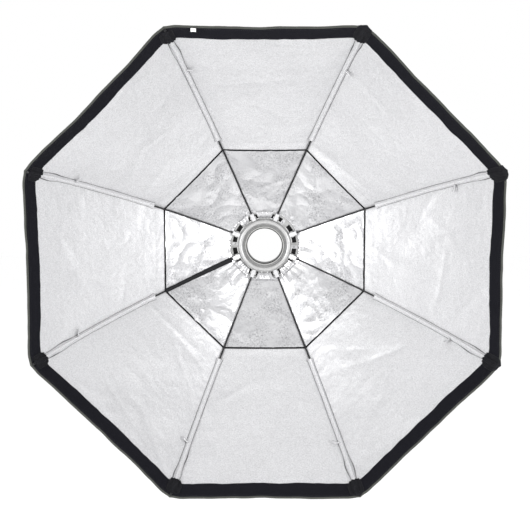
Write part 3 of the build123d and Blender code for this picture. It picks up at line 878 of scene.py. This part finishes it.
# ---------------------------------------------------------------- corner pockets
POCKET_HALF = 0.017
POKE = (0.0095, 0.0070, -0.0045, -0.0050, -0.0050, -0.0040, 0.0025, 0.0060)
for k in range(RODS):
    body = f"rib_{k + 1}"
    right = math.cos(rod_angle(k)) > 0
    rng = np.random.default_rng(900 + k)
    v = np.linspace(0, 1, 49)[:, None]
    u = np.linspace(-1, 1, 37)[None, :]
    inner_end = S_MOUTH - POCKET_REACH - (0.004 if not right else 0.0)
    over = POKE[k]
    turn = np.clip((v - 0.5) / 0.10, -1, 1) * math.pi / 2
    s_path = np.where(v < 0.4, inner_end + (S_MOUTH + over - inner_end - 0.003) * v / 0.4,
                      np.where(v > 0.6, S_MOUTH + over - 0.003 - (0.045 + over) * (v - 0.6) / 0.4,
                               S_MOUTH + over - 0.003 + 0.003 * np.cos(turn)))
    front = STRIP_LAYER - 0.0012
    behind = LAYER_SHELL + 0.0042
    round_edge = (front + behind) / 2 + (behind - front) / 2 * np.sin(turn)
    lay = np.where(v < 0.4, front, np.where(v > 0.6, behind, round_edge))
    pull = 1 + 0.05 * noise(v * 5, 3.0 * k, 111) + (0.10 if right else 0.04) * np.sin(math.pi * np.clip(v / 0.5, 0, 1))
    across = u * POCKET_HALF * pull * (0.72 + 0.28 * smooth(v / 0.16) * smooth((1 - v) / 0.10))
    poke = max(0.0, POKE[k] * 0.4) * np.exp(-((u - rng.uniform(-0.5, 0.5)) / 0.35) ** 2) * np.sin(math.pi * v) ** 6
    sunk = 0.004 * np.abs(u) ** 2 * np.sin(math.pi * v) ** 4
    s_grid = s_path + poke - sunk
    shift = rng.uniform(-0.0035, 0.0035) * (1 - v) * smooth(v / 0.2)
    creased = 0.0009 * (crumple(across + 0.1 * k, s_grid * 0.6, 0.016, 120 + k, 2) - 0.5)
    lean = rng.uniform(-0.8, 0.8)
    folds = 0.0011 * np.maximum(0, noise((across * 1.2 + s_grid * lean) / 0.007, 2.0 * k + v * 0.8, 131))
    points = beside_rod(k, s_grid, across + shift, lay, panel_relief)
    inner_rise = smooth((0.0095 - np.abs(across)) / 0.0060) * smooth((0.50 - v) / 0.06)
    points = points - bow_normal(k, s_grid) * (inner_rise * (front + 0.0046))[..., None]
    outward = np.where(v < 0.5, -1.0, 1.0)
    points = points + bow_normal(k, s_grid) * (outward * (creased + folds) * smooth((1 - np.abs(u)) / 0.1))[..., None]
    pocket = mesh_from_grids(f"pocket_{k + 1}", [(points, None)], [POCKET])
    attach(pocket, body)
    for n, side in enumerate((-0.93, 0.93)):
        column = int(round((side + 1) / 2 * 36))
        line = points[1:-1, column]
        outwards = bow_normal(k, s_grid[1:-1, column]) * outward[1:-1]
        thread = stitch_mesh(f"pocket_thread_{n}_{k + 1}", line + outwards * 0.0003, outwards, [BLACK_THREAD])
        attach(thread, body)

    # seam tape along the rod on the outside, with a row of stitches on each edge
    s = even(S_START, S_MOUTH - 0.040, 0.006)[:, None]
    tape_u = np.array([-0.0072, -0.0066, -0.004, 0.0, 0.004, 0.0066, 0.0072])[None, :]
    ends = np.array([-0.0010, 0.0, 0.0004, 0.0008, 0.0004, 0.0, -0.0010])[None, :]
    tape_points = beside_rod(k, s, tape_u, LAYER_SHELL + 0.0024, panel_relief) + bow_normal(k, s) * ends[..., None]
    tape = mesh_from_grids(f"seam_tape_{k + 1}", [(tape_points, None)], [WEBBING])
    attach(tape, body)
    for n, line in enumerate((-0.0055, 0.0055)):
        row = beside_rod(k, s[:, 0], line, LAYER_SHELL + 0.0026, panel_relief)
        thread = stitch_mesh(f"tape_thread_{n}_{k + 1}", row, bow_normal(k, s[:, 0]), [BLACK_THREAD])
        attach(thread, body)

# ---------------------------------------------------------------- the webbing round the lower left rod
WRAPPED = 4
s = even(S_START - 0.006, S_OCTAGON + 0.001, 0.0025)
around = np.linspace(0, 2 * math.pi, 72, endpoint=False)
t = (s - s[0]) / (s[-1] - s[0])
wide = 0.0066 - 0.0016 * smooth(t) + 0.0003 * noise(s / 0.02, 1.0, 141)
thick = 0.0033 - 0.0002 * t
ridge = 0.00022 * np.cos(around * 18)
a = rod_angle(WRAPPED)
tangent = np.array([-math.sin(a), 0, math.cos(a)])
grid = []
for phi, rib in zip(around, ridge):
    profile = np.abs(math.cos(phi)) ** 0.8 * math.copysign(1, math.cos(phi))
    radius, y = BOW_CR + BOW * np.sin(s / BOW), BOW_CY + BOW * np.cos(s / BOW)
    centre = np.stack([radius * math.cos(a), y, radius * math.sin(a)], 1)
    grid.append(centre + tangent * ((wide + rib) * profile)[:, None]
                + bow_normal(WRAPPED, s) * ((thick + rib) * math.sin(phi))[:, None])
wrap = mesh_from_grids("strap_wrap", [(np.stack(grid, 0), None)], [WEBBING], wrap=True)
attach(wrap, f"rib_{WRAPPED + 1}")
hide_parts("rod_wrap")

# ---------------------------------------------------------------- the blank tag
low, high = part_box("blank_tag")
ux, uz = np.linspace(0, 1, 15)[:, None], np.linspace(0, 1, 9)[None, :]
tag_points = np.stack(np.broadcast_arrays(
    low.x + (high.x - low.x) * ux + 0 * uz,
    low.y + 0.0002 - 0.0011 * np.sin(math.pi * ux) * (1 - uz) + 0.0004 * np.sin(7 * ux + 2 * uz),
    low.z + (high.z - low.z) * uz + 0.0003 * np.sin(5 * ux),
), -1)
tag = mesh_from_grids("tag", [(tag_points, None)], [TAG])
solid = tag.modifiers.new("cloth", "SOLIDIFY")
solid.thickness = 0.0004
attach(tag, "rib_3")
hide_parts("blank_tag")
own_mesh(tag)

# ---------------------------------------------------------------- cloth round the speedring
RIM, LIP_EDGE = 0.0943, 0.0765  # the foil's inner edge: at the rim, or over the plate's windows to the lip
BARE_GORES = (0, 1, 4)  # counted by the rod after the gore
HALF_OPEN = 3
COLLAR_START = 0.0955


def bend_to_rib(obj):
    """Bakes the transform of a piece of cloth between the ring and a rib into its mesh."""
    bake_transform(obj)


for (k, side), half in HALVES.items():
    after = (half.gore + 1) % RODS
    covered = RIM if after in BARE_GORES else LIP_EDGE
    phi = np.linspace(0, HALF, 31)[None, :] * -side
    middle = rod_angle(half.gore % RODS) + HALF
    clear = smooth((HALF - 0.125 - np.abs(phi)) / 0.05)
    t = np.linspace(0, 1, 19)[:, None]
    if after == HALF_OPEN:
        covered = covered + (RIM - covered) * smooth(phi / 0.10)
    inner = RIM + (covered - RIM) * clear
    x = np.tan(phi) / math.tan(HALF)
    edge = surface(half.gore, x, S_START + 0.004, LAYER_BACK + 0.0012, flat_relief)
    outer = np.hypot(edge[..., 0], edge[..., 2])
    r = inner + (outer - inner) * t
    y = -np.interp(r, (LIP_EDGE, 0.084, 0.0905, 0.0945, 0.0985, 0.103, 0.110),
                   (0.0085, 0.0120, 0.0138, 0.0138, 0.0152, 0.0170, 0.0195))
    ripple = noise(phi * 34 + 9 * half.gore, t * 0.9, 151) + 0.5 * noise(phi * 70 + 5 * half.gore, t * 1.5, 153)
    y = y - (0.0018 * ripple * smooth(t / 0.15) * smooth((1 - t) / 0.3) + 0.0010) * clear
    y = y + (edge[..., 1] - y) * smooth((t - 0.6) / 0.4)
    angle = middle + phi + 0 * t
    points = np.stack([r * np.cos(angle), y, r * np.sin(angle)], -1)
    apron = mesh_from_grids(f"apron_{half.name}", [(points, None)], [GATHERED])
    bend_to_rib(apron)

    # the black collar on the outside, gathered from the rim out on to the shell
    t = np.linspace(0, 1, 21)[:, None]
    edge = surface(half.gore, x, S_START + 0.022, LAYER_SHELL + 0.0022, panel_relief)
    outer = np.hypot(edge[..., 0], edge[..., 2])
    pr = COLLAR_START + (outer - COLLAR_START) * t
    ridge = noise(phi * 60 + 7 * half.gore, t * 1.2, 161) * np.sin(math.pi * np.clip(t * 1.1, 0, 1))
    py = -0.0006 + (edge[..., 1] + 0.0006) * t ** 0.8 + 0.0016 * ridge + 0.0022 * np.sin(math.pi * t)
    points = np.stack([pr * np.cos(angle[:1] + 0 * t), py, pr * np.sin(angle[:1] + 0 * t)], -1)
    collar = mesh_from_grids(f"collar_{half.name}", [(points, None)], [SHELL])
    bend_to_rib(collar)

phi = np.linspace(0, 2 * math.pi, 193)
rows = np.array([(LIP_EDGE, 0.0012), (0.086, 0.0013), (0.0925, 0.0014), (0.0950, 0.0012), (0.0958, 0.0002),
                 (0.0957, -0.0012)])
dense = np.linspace(0, len(rows) - 1, 26)
pr = np.interp(dense, range(len(rows)), rows[:, 0])[:, None]
pr = pr + 0.0003 * noise(phi[None, :] * 14, dense[:, None] * 0.2, 165)
py = np.interp(dense, range(len(rows)), rows[:, 1])[:, None] + 0 * phi[None, :]
inside = np.abs(np.angle(np.exp(1j * (phi + math.pi / 2)))) < 0.10
pr = np.where(inside[None, :] & (pr < 0.0895), 0.0895 + 0.0002 * dense[:, None], pr)
pr[:, -1] = pr[:, 0]
points = np.stack([pr * np.cos(phi), py, pr * np.sin(phi)], -1)
skirt = mesh_from_grids("rear_skirt", [(points, None)], [SHELL])
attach(skirt, "ring")
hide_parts("rear_collar")

# ---------------------------------------------------------------- stage, light and camera
FLOOR_HALF, FLOOR_Z = 9, -1.25
ground = bpy.data.meshes.new("floor")
corners = [(x * FLOOR_HALF, y * FLOOR_HALF, FLOOR_Z) for x, y in ((-1, -1), (1, -1), (1, 1), (-1, 1))]
ground.from_pydata(corners, [], [(0, 1, 2, 3)])
floor = bpy.data.objects.new("floor", ground)
bpy.context.scene.collection.objects.link(floor)
floor.data.materials.append(
    material("floor_paper", cloth((0.985, 0.985, 0.985), (0.995, 0.995, 0.995), 0.004, 0.0001, 20.0), Roughness=0.9)
)
floor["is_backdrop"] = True

world = bpy.data.worlds.new("studio")
bpy.context.scene.world = world
world.use_nodes = True
world.node_tree.nodes["Background"].inputs["Color"].default_value = (1, 1, 1, 1)
world.node_tree.nodes["Background"].inputs["Strength"].default_value = 1.0


def area_light(name, place_at, target, size, power):
    data = bpy.data.lights.new(name, "AREA")
    data.shape, data.size, data.energy = "DISK", size, power
    obj = bpy.data.objects.new(name, data)
    obj.location = place_at
    obj.rotation_euler = (Vector(target) - Vector(place_at)).to_track_quat("-Z", "Y").to_euler()
    bpy.context.scene.collection.objects.link(obj)


area_light("key", (-2.5, -2.5, 0.25), (0, -0.2, 0), 0.8, 70.0)
area_light("fill", (2.5, -2.5, 0.2), (0, -0.2, 0), 0.8, 60.0)

CAMERA_DISTANCE = 2.526
CAMERA_LIFT = math.radians(8.2)
CAMERA_SIDE = -0.0024
AIM_Z = 0.0114
SENSOR, LENS_WIDTHS = 36.0, 1078.0 / 530.0
cam_data = bpy.data.cameras.new("camera")
cam_data.sensor_width = SENSOR
cam_data.lens = SENSOR * LENS_WIDTHS
camera = bpy.data.objects.new("camera", cam_data)
aim = Vector((0.0, MOUTH_Y, AIM_Z))
camera.location = aim + CAMERA_DISTANCE * Vector((CAMERA_SIDE, -math.cos(CAMERA_LIFT), math.sin(CAMERA_LIFT)))
camera.rotation_euler = (aim - camera.location).to_track_quat("-Z", "Y").to_euler()
bpy.context.scene.collection.objects.link(camera)
bpy.context.scene.camera = camera
bpy.context.scene.view_settings.view_transform = "Standard"

low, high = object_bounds()
